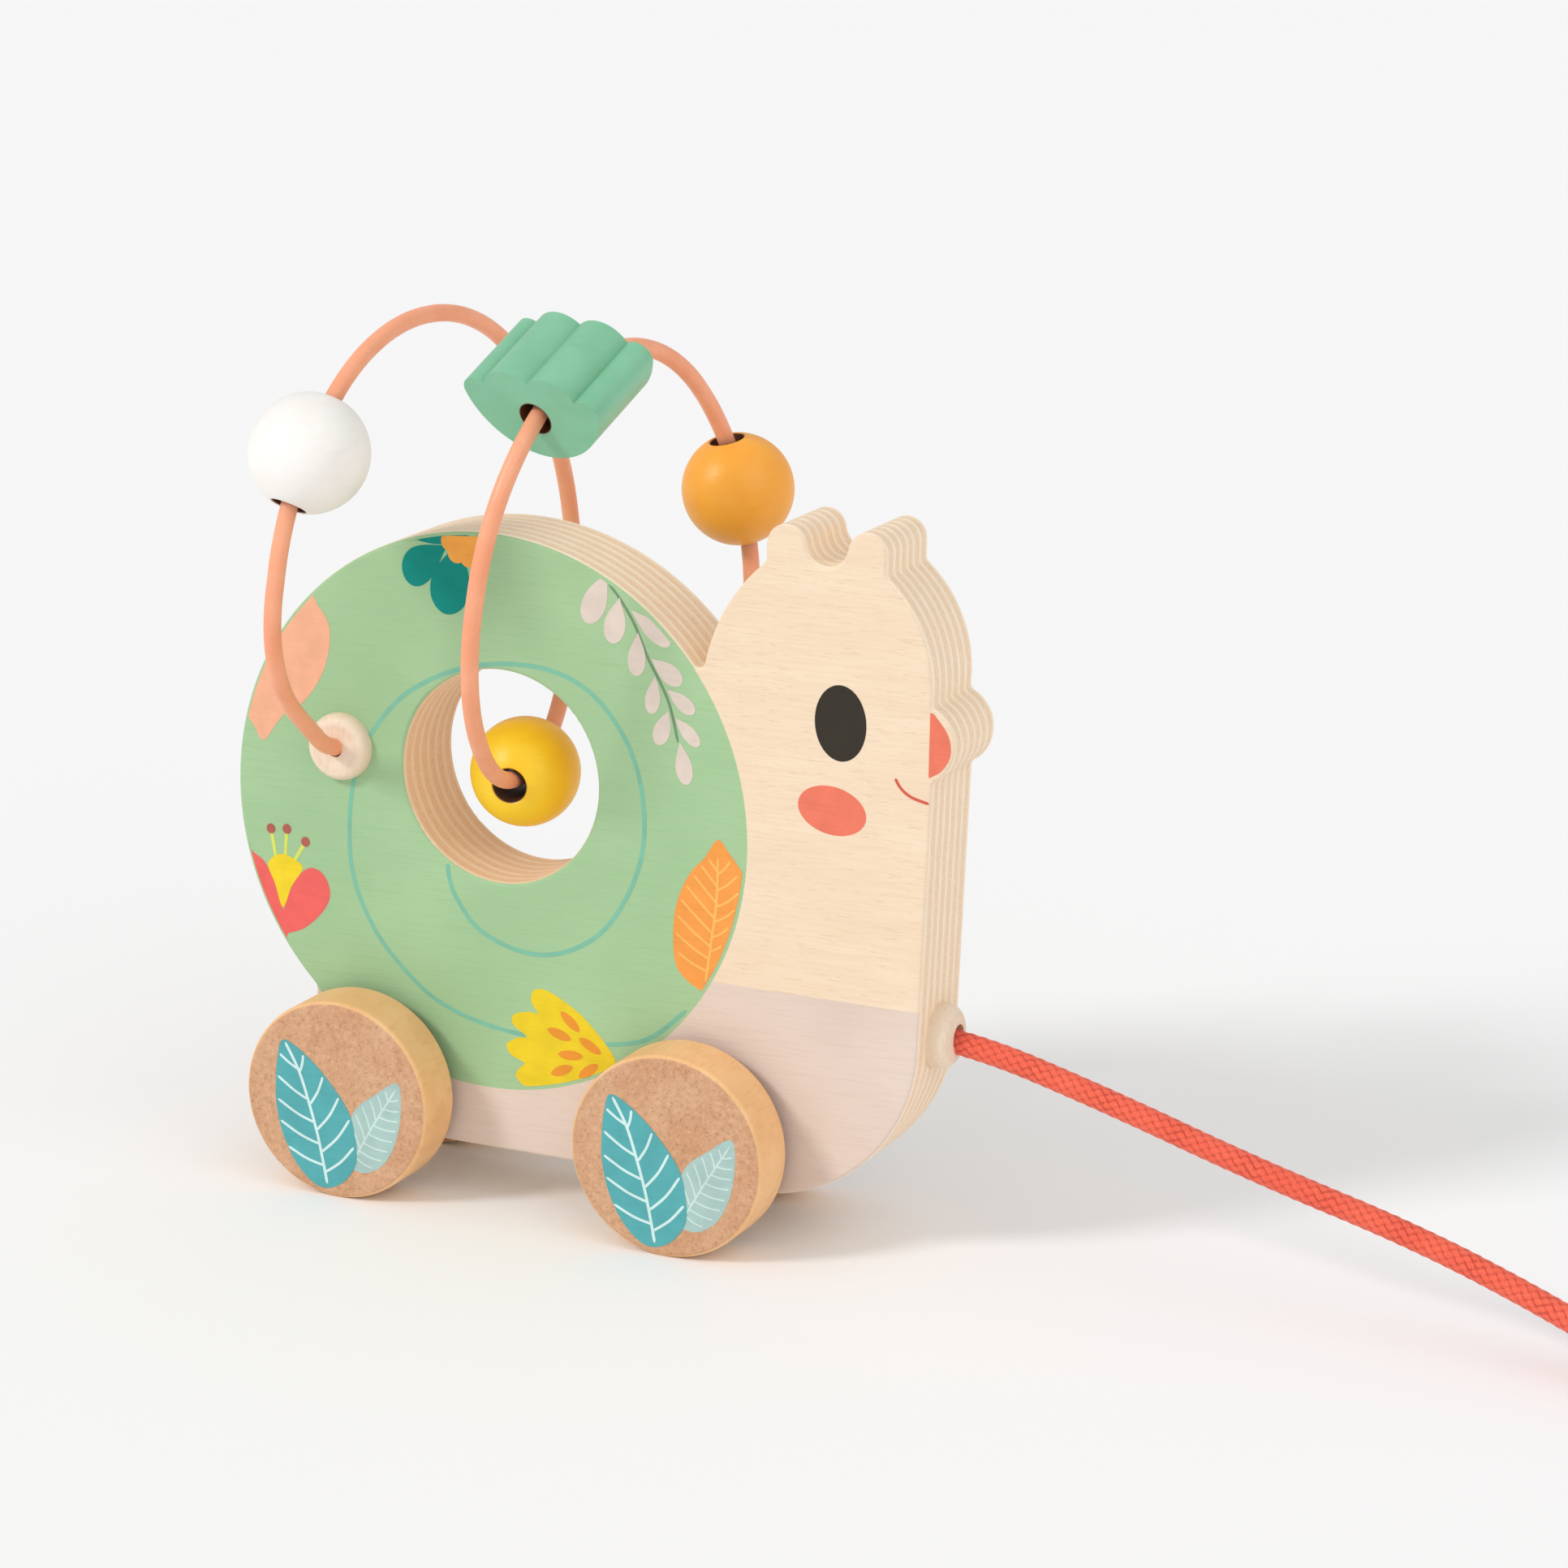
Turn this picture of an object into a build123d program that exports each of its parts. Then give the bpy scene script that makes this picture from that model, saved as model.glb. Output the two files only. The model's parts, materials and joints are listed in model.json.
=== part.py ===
"""Pull-along wooden snail with a looping wire, four sliding beads and a braided pull cord.

Millimetres, +Z up, +X towards the snail's nose.  The origin is on the floor, halfway
between the back of the shell and the tip of the nose, in the plate's middle plane.
"""
from build123d import *
import math
import os

# --- Plate: one thick sheet of plywood sawn to the snail's outline -----------------------
plate_thickness = 21.0
shell_radius = 58.0
shell_height = 81.8
hole_radius = 22.1
hole_forward = 2.9
hole_rise = 8.1
notch_angle = 35.0
notch_inset = 0.1
nape_bulge = (4.6, 14.7)
crown_height = 148.0
antenna_radius = 4.1
antenna_spread = 17.1
antenna_forward = 64.9
valley_rise = 1.1
head_back_drop = 3.6
brow_drop = 4.2
brow_bulge = (-2.9, 15.9)
nose_reach = 101.3
nose_height = 107.8
nose_root = 96.5
nose_root_slant = 0.35
nose_half_height = 7.35
front_reach = 95.0
front_slant = 0.6
foot_height = 10.8
chin_radius = 36.0
heel_radius = 10.0
tail_reach = 40.0
corner_rounding = 1.5
edge_rounding = 0.8

shell_x = (shell_radius - nose_reach) / 2
front_x = shell_x + front_reach
plate_face = plate_thickness / 2

# --- Wheels, axles and washers -----------------------------------------------------------
wheel_radius = 21.0
wheel_width = 12.6
wheel_gap = 2.4
wheel_rounding = 1.2
axle_radius = 4.0
axle_seat = 9.0
running_clearance = 0.1
washer_radius = 8.0
washer_thickness = 1.6
front_axle_x = shell_x + 48.0
rear_axle_x = shell_x - 27.0

# --- Looping wire: two turns of a flattened helix that threads the shell's hole ----------
wire_radius = 1.75
loop_half_width = 41.0
loop_half_height = 45.55
loop_pitch = 42.5
loop_x = shell_x + 2.6
loop_height = 133.45
loop_taper = 0.07
corner_step = 45.0
arc_share = 0.49

boss_radius = 7.0
boss_height = 3.2
boss_shank_radius = 4.0
boss_shank_length = 7.0
boss_offset = 36.0
boss_axis_height = 92.0

# --- Beads on the wire: place along the loops in degrees from the hole --------------------
bead_play = 1.75
bore_radius = wire_radius + bead_play
bore_chamfer = 0.4
bead_hang = 0.8
centred_hang = 0.2
white_radius = 12.0
yellow_radius = 11.3
orange_radius = 11.6
green_length = 19.5
green_half_width = 15.9
green_top = 10.2
green_bottom = 9.3
white_place = -239.0
yellow_place = -3.0
green_place = 152.0
orange_place = 256.0

# --- Pull cord, its boss and its knots ---------------------------------------------------
cord_radius = 2.5
cord_height = 46.5
cord_boss_radius = 6.6
cord_boss_height = 4.8
cord_bore_radius = 5.0
cord_bore_depth = 24.0
cord_shank_length = 10.0
cord_play = 0.2
anchor_knot_length = 9.0
coil_radius = 27.5
coil_turns = 2
coil_gap = 0.1
coil_lift = 1.2
tie_width = 6.0
tie_thickness = 0.8
end_knot_radius = 5.2

os.makedirs("parts", exist_ok=True)


def finish(piece, name):
    """Label a piece and write its STEP file."""
    piece.part.label = name
    export_step(piece.part, "parts/" + name + ".step")


def loop_point(place, spread=1.0):
    """A point on the wire's loops, place degrees on from the middle of the shell's hole."""
    turn = math.radians(place)
    size = spread * (1 - loop_taper * place / 360)
    return Vector(
        loop_x + loop_pitch * place / 360,
        -loop_half_width * size * math.sin(turn),
        loop_height - loop_half_height * size * math.cos(turn),
    )


def loop_tangent(place):
    """The direction of the wire at a place on its loops."""
    return (loop_point(place + 1) - loop_point(place - 1)).normalized()


def loop_inward(place):
    """The direction from the wire towards the inside of its bend."""
    turn = math.radians(place)
    centre = Vector(0, loop_half_height * math.sin(turn), loop_half_width * math.cos(turn))
    tangent = loop_tangent(place)
    return (centre - tangent * centre.dot(tangent)).normalized()


def bead_plane(place, hang):
    """The plane across a bead's bore: Z along the wire, X to the snail's tail."""
    tangent = loop_tangent(place)
    sideways = (tangent * tangent.X - Vector(1, 0, 0)).normalized()
    return Plane(loop_point(place) + loop_inward(place) * hang, x_dir=sideways, z_dir=tangent)


def corner_radii(points, share):
    """Arc radii that use the same share of the shorter run at every corner of a route."""
    radii = []
    for before, corner, after in zip(points, points[1:], points[2:]):
        into = Vector(*corner) - Vector(*before)
        out = Vector(*after) - Vector(*corner)
        half_turn = math.radians(into.get_angle(out) / 2)
        radii.append(share * min(into.length, out.length) / math.tan(half_turn))
    return radii


def round_route(points, radii, section_radius):
    """A closed tube along straight runs joined by tangent arcs, with its route's length."""
    with BuildPart() as tube:
        with BuildLine():
            route = FilletPolyline(*points, radius=radii)
        with BuildSketch(Plane(route @ 0, z_dir=route % 0)):
            Circle(section_radius)
        sweep()
    return tube, route.length


# === Snail body ==========================================================================
antenna_height = crown_height - antenna_radius
left_antenna = Vector(shell_x + antenna_forward, antenna_height)
right_antenna = left_antenna + Vector(antenna_spread, 0)
valley_centre = left_antenna + Vector(antenna_spread / 2, valley_rise)
valley_reach = valley_centre - left_antenna
valley_left = left_antenna + valley_reach * (antenna_radius / valley_reach.length)
valley_right = Vector(2 * valley_centre.X - valley_left.X, valley_left.Y)
valley_floor = valley_centre - Vector(0, valley_reach.length - antenna_radius)
head_back = left_antenna - Vector(antenna_radius, head_back_drop)
brow = right_antenna + Vector(antenna_radius, -brow_drop)
nose_top = Vector(shell_x + nose_root - nose_root_slant, nose_height + nose_half_height)
nose_bottom = Vector(shell_x + nose_root + nose_root_slant, nose_height - nose_half_height)
chin_corner = Vector(front_x - front_slant, foot_height)
heel_corner = Vector(shell_x - tail_reach, foot_height)
tail_top = Vector(heel_corner.X, shell_height - math.sqrt(shell_radius**2 - tail_reach**2))
shell_centre = Vector(shell_x, shell_height)
notch_reach = Vector(shell_radius - notch_inset, 0)
shell_notch = shell_centre + notch_reach.rotate(Axis.Z, notch_angle)
small_corners = (shell_notch, head_back, brow, nose_top, nose_bottom, tail_top)

with BuildPart() as snail_body:
    with BuildSketch(Plane.XZ) as outline:
        with Locations(shell_centre):
            Circle(shell_radius)
        with BuildLine():
            ThreePointArc(shell_notch, shell_notch + Vector(*nape_bulge), head_back)
            Line(head_back, left_antenna - Vector(antenna_radius, 0))
            ThreePointArc(
                left_antenna - Vector(antenna_radius, 0),
                left_antenna + Vector(0, antenna_radius),
                valley_left,
            )
            ThreePointArc(valley_left, valley_floor, valley_right)
            ThreePointArc(
                valley_right,
                right_antenna + Vector(0, antenna_radius),
                right_antenna + Vector(antenna_radius, 0),
            )
            Line(right_antenna + Vector(antenna_radius, 0), brow)
            ThreePointArc(brow, nose_top + Vector(*brow_bulge), nose_top)
            ThreePointArc(nose_top, (shell_x + nose_reach, nose_height), nose_bottom)
            Polyline(nose_bottom, chin_corner, heel_corner, tail_top, shell_centre, shell_notch)
        make_face()
        fillet(outline.vertices().sort_by_distance(chin_corner)[0], radius=chin_radius)
        fillet(outline.vertices().sort_by_distance(heel_corner)[0], radius=heel_radius)
        for corner in small_corners:
            fillet(outline.vertices().sort_by_distance(corner)[0], radius=corner_rounding)
        with Locations(shell_centre + Vector(hole_forward, hole_rise)):
            Circle(hole_radius, mode=Mode.SUBTRACT)
    extrude(amount=plate_face, both=True)
    faces_across = snail_body.faces().filter_by(Axis.Y)
    fillet(faces_across.edges(), radius=edge_rounding)
    with BuildSketch(Plane.XZ):
        with Locations((front_axle_x, wheel_radius), (rear_axle_x, wheel_radius)):
            Circle(axle_radius + running_clearance)
    extrude(amount=plate_thickness, both=True, mode=Mode.SUBTRACT)
    for side in (-1, 1):
        with BuildSketch(Plane(
            (loop_x + side * boss_offset, side * plate_face, boss_axis_height),
            x_dir=(1, 0, 0), z_dir=(0, side, 0),
        )):
            Circle(boss_shank_radius)
        extrude(amount=-boss_shank_length, mode=Mode.SUBTRACT)
    with BuildSketch(Plane((front_x, 0, cord_height), z_dir=(1, 0, 0))):
        Circle(cord_bore_radius)
    extrude(amount=-cord_bore_depth, mode=Mode.SUBTRACT)
    with BuildSketch(Plane((front_x, 0, cord_height), z_dir=(1, 0, 0))):
        Circle(cord_boss_radius)
    extrude(amount=cord_boss_height, mode=Mode.SUBTRACT)
finish(snail_body, "snail_body")

# === Wheels, axles and washers ===========================================================
wheel_inner = plate_face + wheel_gap
wheel_outer = wheel_inner + wheel_width
axle_reach = wheel_inner + axle_seat

for end, axle_x in (("front", front_axle_x), ("rear", rear_axle_x)):
    with BuildPart() as axle:
        with BuildSketch(Plane((axle_x, 0, wheel_radius), x_dir=(1, 0, 0), z_dir=(0, 1, 0))):
            Circle(axle_radius)
        extrude(amount=axle_reach, both=True)
    finish(axle, end + "_axle")

    for side, hand in ((-1, "right"), (1, "left")):
        inner_plane = Plane(
            (axle_x, side * wheel_inner, wheel_radius), x_dir=(1, 0, 0), z_dir=(0, side, 0)
        )
        with BuildPart() as wheel:
            with BuildSketch(inner_plane):
                Circle(wheel_radius)
            extrude(amount=wheel_width)
            fillet(wheel.edges().filter_by(GeomType.CIRCLE), radius=wheel_rounding)
            with BuildSketch(inner_plane):
                Circle(axle_radius)
            extrude(amount=axle_seat, mode=Mode.SUBTRACT)
        finish(wheel, end + "_" + hand + "_wheel")

        with BuildPart() as washer:
            with BuildSketch(inner_plane):
                Circle(washer_radius)
                Circle(axle_radius, mode=Mode.SUBTRACT)
            extrude(amount=-washer_thickness)
        finish(washer, end + "_" + hand + "_washer")

# === Looping wire and its bosses =========================================================
last_corner = 360 - corner_step / 2
corner_count = round(2 * (last_corner - corner_step) / corner_step) + 1
corner_spread = 1 / math.cos(math.radians(corner_step / 2))
wire_tip = plate_face - boss_shank_length
bend_reach = abs(loop_point(last_corner, corner_spread).Y)

wire_points = [
    Vector(loop_x - boss_offset, -wire_tip, boss_axis_height),
    Vector(loop_x - boss_offset, -bend_reach, boss_axis_height),
]
for index in range(corner_count):
    place = corner_step * (index + 1) - last_corner
    wire_points.append(loop_point(place, corner_spread))
wire_points += [
    Vector(loop_x + boss_offset, bend_reach, boss_axis_height),
    Vector(loop_x + boss_offset, wire_tip, boss_axis_height),
]
looping_wire, wire_length = round_route(
    wire_points, corner_radii(wire_points, arc_share), wire_radius
)
finish(looping_wire, "looping_wire")
print("wire length", round(wire_length, 1))
print("wire volume / section x length",
      round(looping_wire.part.volume / (math.pi * wire_radius**2 * wire_length), 4))

for side, name in ((-1, "near_wire_boss"), (1, "far_wire_boss")):
    boss_plane = Plane(
        (loop_x + side * boss_offset, side * plate_face, boss_axis_height),
        x_dir=(1, 0, 0), z_dir=(0, side, 0),
    )
    with BuildPart() as wire_boss:
        with BuildSketch(boss_plane):
            Circle(boss_radius)
        extrude(amount=boss_height)
        top_edge = wire_boss.edges().group_by(Axis.Y)[0 if side < 0 else -1]
        fillet(top_edge, radius=boss_height * 0.75)
        with BuildSketch(boss_plane):
            Circle(boss_shank_radius)
        extrude(amount=-boss_shank_length)
        with BuildSketch(boss_plane.offset(boss_height)):
            Circle(wire_radius)
        extrude(amount=-boss_height - boss_shank_length, mode=Mode.SUBTRACT)
    finish(wire_boss, name)

# === Beads ===============================================================================
balls = (
    ("white_bead", white_radius, white_place),
    ("yellow_bead", yellow_radius, yellow_place),
    ("orange_bead", orange_radius, orange_place),
)
for name, radius, place in balls:
    hang = centred_hang if name == "yellow_bead" else bead_hang
    with BuildPart(bead_plane(place, hang)) as bead:
        Sphere(radius)
        Cylinder(bore_radius, 3 * radius, mode=Mode.SUBTRACT)
        chamfer(bead.edges().filter_by(GeomType.CIRCLE), length=bore_chamfer)
    finish(bead, name)

with BuildPart() as green_bead:
    with BuildSketch(bead_plane(green_place, bead_hang)):
        with BuildLine():
            for hand in (-1, 1):
                tip = (hand * green_half_width, 0.35 * green_top)
                outer_lobe = (hand * 0.87 * green_half_width, 0.66 * green_top)
                outer_valley = (hand * 0.67 * green_half_width, 0.62 * green_top)
                crest = (hand * 0.34 * green_half_width, green_top)
                ThreePointArc(tip, outer_lobe, outer_valley)
                ThreePointArc(outer_valley, crest, (0, 0.82 * green_top))
            ThreePointArc(
                (green_half_width, 0.35 * green_top),
                (0, -green_bottom),
                (-green_half_width, 0.35 * green_top),
            )
        make_face()
        Circle(bore_radius, mode=Mode.SUBTRACT)
    extrude(amount=green_length / 2, both=True)
finish(green_bead, "green_bead")

# === Cord boss, cord, coil, tie and knots ================================================
cord_plane = Plane((front_x, 0, cord_height), z_dir=(1, 0, 0))
with BuildPart() as cord_boss:
    with BuildSketch(cord_plane):
        Circle(cord_boss_radius)
    extrude(amount=cord_boss_height)
    fillet(cord_boss.edges().group_by(Axis.X)[-1], radius=cord_boss_height * 0.7)
    with BuildSketch(cord_plane):
        Circle(cord_bore_radius)
    extrude(amount=-cord_shank_length)
    with BuildSketch(cord_plane.offset(cord_boss_height)):
        Circle(cord_radius + cord_play)
    extrude(amount=-cord_boss_height - cord_shank_length, mode=Mode.SUBTRACT)
finish(cord_boss, "cord_boss")

with BuildPart() as anchor_knot:
    with BuildSketch(cord_plane.offset(-cord_shank_length)):
        Circle(cord_bore_radius - cord_play)
    extrude(amount=-anchor_knot_length)
    fillet(anchor_knot.edges().filter_by(GeomType.CIRCLE), radius=2.0)
finish(anchor_knot, "anchor_knot")

coil_pitch = 2 * cord_radius + coil_gap
cord_floor = coil_lift + cord_radius
coil_x = shell_x + 275.0
coil_y = 15.5
coil_start = (coil_x, coil_y - coil_radius, cord_floor)
cord_points = [
    (front_x - cord_shank_length, 0, cord_height),
    (shell_x + 101.0, 0, cord_height - 0.2),
    (shell_x + 131.0, 0.8, 38.2),
    (shell_x + 163.0, -0.6, 29.2),
    (shell_x + 195.0, 0.9, 20.6),
    (shell_x + 222.0, -2.5, 12.8),
    (shell_x + 243.0, -7.5, 6.8),
    (shell_x + 259.0, -11.0, 3.9),
    coil_start,
]
cord_radii = corner_radii(cord_points, 0.45)
print("cord radii", [round(radius) for radius in cord_radii])
pull_cord, cord_length = round_route(cord_points, cord_radii, cord_radius)
finish(pull_cord, "pull_cord")
print("cord volume / section x length",
      round(pull_cord.part.volume / (math.pi * cord_radius**2 * cord_length), 4))

coil_height = coil_turns * coil_pitch + 2 * cord_radius
with BuildPart() as cord_coil:
    with BuildSketch(Plane.XY.offset(coil_lift)):
        with Locations((coil_x, coil_y)):
            Circle(coil_radius + cord_radius)
            Circle(coil_radius - cord_radius, mode=Mode.SUBTRACT)
    extrude(amount=coil_height)
    fillet(cord_coil.edges().filter_by(GeomType.CIRCLE), radius=1.5)
finish(cord_coil, "cord_coil")

tail_height = cord_floor + coil_turns * coil_pitch
tail_points = [
    (coil_x, coil_y - coil_radius, tail_height),
    (coil_x + 14.0, coil_y - coil_radius - 0.6, tail_height - 2.6),
    (coil_x + 30.0, coil_y - coil_radius - 0.4, cord_floor + 1.6),
    (coil_x + 45.0, coil_y - coil_radius + 2.4, cord_radius + 0.4),
]
tail_radii = corner_radii(tail_points, 0.45)
print("tail radii", [round(radius) for radius in tail_radii])
cord_tail, tail_length = round_route(tail_points, tail_radii, cord_radius)
finish(cord_tail, "cord_tail")
coil_length = coil_turns * math.hypot(2 * math.pi * coil_radius, coil_pitch)
print("cord length", round(cord_length + coil_length + tail_length, 1))

with BuildPart() as cord_tie:
    with BuildSketch(Plane(
        (coil_x, coil_y + coil_radius, coil_lift + coil_height / 2),
        x_dir=(0, 1, 0), z_dir=(1, 0, 0),
    )):
        Rectangle(2 * cord_radius + 2 * tie_thickness, coil_height + 2 * tie_thickness)
        Rectangle(2 * cord_radius, coil_height, mode=Mode.SUBTRACT)
    extrude(amount=tie_width / 2, both=True)
finish(cord_tie, "cord_tie")

knot_centre = (tail_points[-1][0] + 4.6, tail_points[-1][1] + 0.9, end_knot_radius + 0.1)
with BuildPart(Plane(knot_centre)) as end_knot:
    Sphere(end_knot_radius)
finish(end_knot, "end_knot")
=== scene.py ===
"""Looks of the pull-along snail: lacquered plywood, screen-printed motifs, painted beads,
a coated wire and a braided pull cord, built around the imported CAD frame.

Motif outlines are in millimetres on the plate, x from the shell's centre and z from the floor.
"""
import json
import math

import bmesh
import bpy
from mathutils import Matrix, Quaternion, Vector
from mathutils.geometry import delaunay_2d_cdt


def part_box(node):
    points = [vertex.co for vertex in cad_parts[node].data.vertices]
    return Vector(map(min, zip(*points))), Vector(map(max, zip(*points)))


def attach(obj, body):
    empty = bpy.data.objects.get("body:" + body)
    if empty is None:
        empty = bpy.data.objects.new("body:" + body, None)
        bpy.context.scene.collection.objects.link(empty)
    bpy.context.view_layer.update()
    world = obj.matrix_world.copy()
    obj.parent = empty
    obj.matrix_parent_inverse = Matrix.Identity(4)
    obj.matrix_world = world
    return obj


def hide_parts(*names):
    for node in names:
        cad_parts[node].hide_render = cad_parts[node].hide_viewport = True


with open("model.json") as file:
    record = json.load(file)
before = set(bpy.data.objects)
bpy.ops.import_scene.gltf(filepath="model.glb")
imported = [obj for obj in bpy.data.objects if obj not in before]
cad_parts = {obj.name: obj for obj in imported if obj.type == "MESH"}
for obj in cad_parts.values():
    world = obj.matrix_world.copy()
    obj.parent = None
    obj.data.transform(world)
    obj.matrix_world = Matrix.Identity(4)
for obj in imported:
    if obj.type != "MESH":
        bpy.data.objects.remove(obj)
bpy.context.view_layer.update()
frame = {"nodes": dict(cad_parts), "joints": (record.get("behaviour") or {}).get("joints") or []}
scene = bpy.context.scene
MM = 0.001


def place(x, y, z):
    """A point given in millimetres, as a vector in metres."""
    return Vector((x, y, z)) * MM


def link(thing):
    scene.collection.objects.link(thing)
    return thing


def tint(red, green, blue):
    """An sRGB colour from 0 to 255, as a shader's linear colour."""
    linear = [
        value / 12.92 if value <= 0.04045 else ((value + 0.055) / 1.055) ** 2.4
        for value in (red / 255, green / 255, blue / 255)
    ]
    return (*linear, 1.0)


# --- Sizes read from the frame -----------------------------------------------------------
body_low, body_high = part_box("snail_body")
PLATE_FACE = body_high.y / MM
SHELL_RADIUS = 58.0
SHELL_X = body_low.x / MM + SHELL_RADIUS
SHELL_Z = 81.8
SHELL_EDGE = 0.8
wheel_low, wheel_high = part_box("front_right_wheel")
WHEEL_RADIUS = (wheel_high.z - wheel_low.z) / 2 / MM
WHEEL_FACE = -wheel_low.y / MM

# --- Camera ------------------------------------------------------------------------------
AZIMUTH, ELEVATION, ROLL = (math.radians(angle) for angle in (24.08, 14.87, 1.13))
FOCAL_LENGTH = 103.57
LOOK_AT = (39.31, 0, 93.38)
CAMERA_DISTANCE = 893.6
camera_data = bpy.data.cameras.new("camera")
camera_data.sensor_width = 36.0
camera_data.lens = FOCAL_LENGTH
camera_data.clip_start = 0.05
camera_data.clip_end = 60.0
camera = link(bpy.data.objects.new("camera", camera_data))
backward = Vector((
    math.sin(AZIMUTH) * math.cos(ELEVATION),
    -math.cos(AZIMUTH) * math.cos(ELEVATION),
    math.sin(ELEVATION),
))
camera.location = place(*LOOK_AT) + backward * CAMERA_DISTANCE * MM
camera.rotation_mode = "QUATERNION"
camera.rotation_quaternion = Quaternion(backward, ROLL) @ (-backward).to_track_quat("-Z", "Y")
scene.camera = camera


# --- Materials ---------------------------------------------------------------------------
class Shade:
    """A procedural material. Each call adds a node and returns its output socket."""

    def __init__(self, name, roughness, specular=0.4, coat=0.0):
        self.material = bpy.data.materials.new(name)
        self.material.use_nodes = True
        self.tree = self.material.node_tree
        self.shader = self.tree.nodes["Principled BSDF"]
        self.shader.inputs["Roughness"].default_value = roughness
        self.shader.inputs["Specular IOR Level"].default_value = specular
        self.shader.inputs["Coat Weight"].default_value = coat
        self.shader.inputs["Coat Roughness"].default_value = 0.25
        self.place = self.tree.nodes.new("ShaderNodeTexCoord").outputs["Object"]

    def put(self, socket, value):
        if isinstance(value, bpy.types.NodeSocket):
            self.tree.links.new(value, socket)
        else:
            socket.default_value = value

    def math(self, operation, first, second=0.0):
        node = self.tree.nodes.new("ShaderNodeMath")
        node.operation = operation
        self.put(node.inputs[0], first)
        self.put(node.inputs[1], second)
        return node.outputs[0]

    def vector(self, operation, first, second=(0, 0, 0), output="Vector"):
        node = self.tree.nodes.new("ShaderNodeVectorMath")
        node.operation = operation
        self.put(node.inputs[0], first)
        self.put(node.inputs[1], second)
        return node.outputs[output]

    def axes(self, vector=None):
        node = self.tree.nodes.new("ShaderNodeSeparateXYZ")
        self.put(node.inputs[0], vector or self.place)
        return node.outputs

    def noise(self, size, detail=3.0, roughness=0.55, warp=0.0, vector=None):
        """Noise whose features are about size millimetres along X, Y and Z."""
        scaled = self.vector("MULTIPLY", vector or self.place, tuple(1 / (MM * s) for s in size))
        node = self.tree.nodes.new("ShaderNodeTexNoise")
        self.put(node.inputs["Vector"], scaled)
        node.inputs["Scale"].default_value = 1.0
        node.inputs["Detail"].default_value = detail
        node.inputs["Roughness"].default_value = roughness
        node.inputs["Distortion"].default_value = warp
        return node.outputs["Fac"]

    def fade(self, value, low, high, start=0.0, end=1.0):
        """Rises smoothly from start at low to end at high."""
        node = self.tree.nodes.new("ShaderNodeMapRange")
        node.interpolation_type = "SMOOTHSTEP"
        self.put(node.inputs["Value"], value)
        node.inputs["From Min"].default_value = low
        node.inputs["From Max"].default_value = high
        node.inputs["To Min"].default_value = start
        node.inputs["To Max"].default_value = end
        return node.outputs["Result"]

    def mix(self, share, first, second, blend="MIX"):
        node = self.tree.nodes.new("ShaderNodeMix")
        node.data_type = "RGBA"
        node.blend_type = blend
        self.put(node.inputs["Factor"], share)
        self.put(node.inputs[6], first)
        self.put(node.inputs[7], second)
        return node.outputs[2]

    def bump(self, height, depth):
        """Relief of a height from 0 to 1, depth millimetres deep."""
        node = self.tree.nodes.new("ShaderNodeBump")
        node.inputs["Strength"].default_value = 1.0
        node.inputs["Distance"].default_value = depth * MM
        self.put(node.inputs["Height"], height)
        self.put(self.shader.inputs["Normal"], node.outputs["Normal"])

    def colour(self, value):
        self.put(self.shader.inputs["Base Color"], value)

    def rough(self, value):
        self.put(self.shader.inputs["Roughness"], value)


PLIES = 13
VENEER_DEPTH = 0.3
FOOT_PAINT_TOP = 53.8


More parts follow.
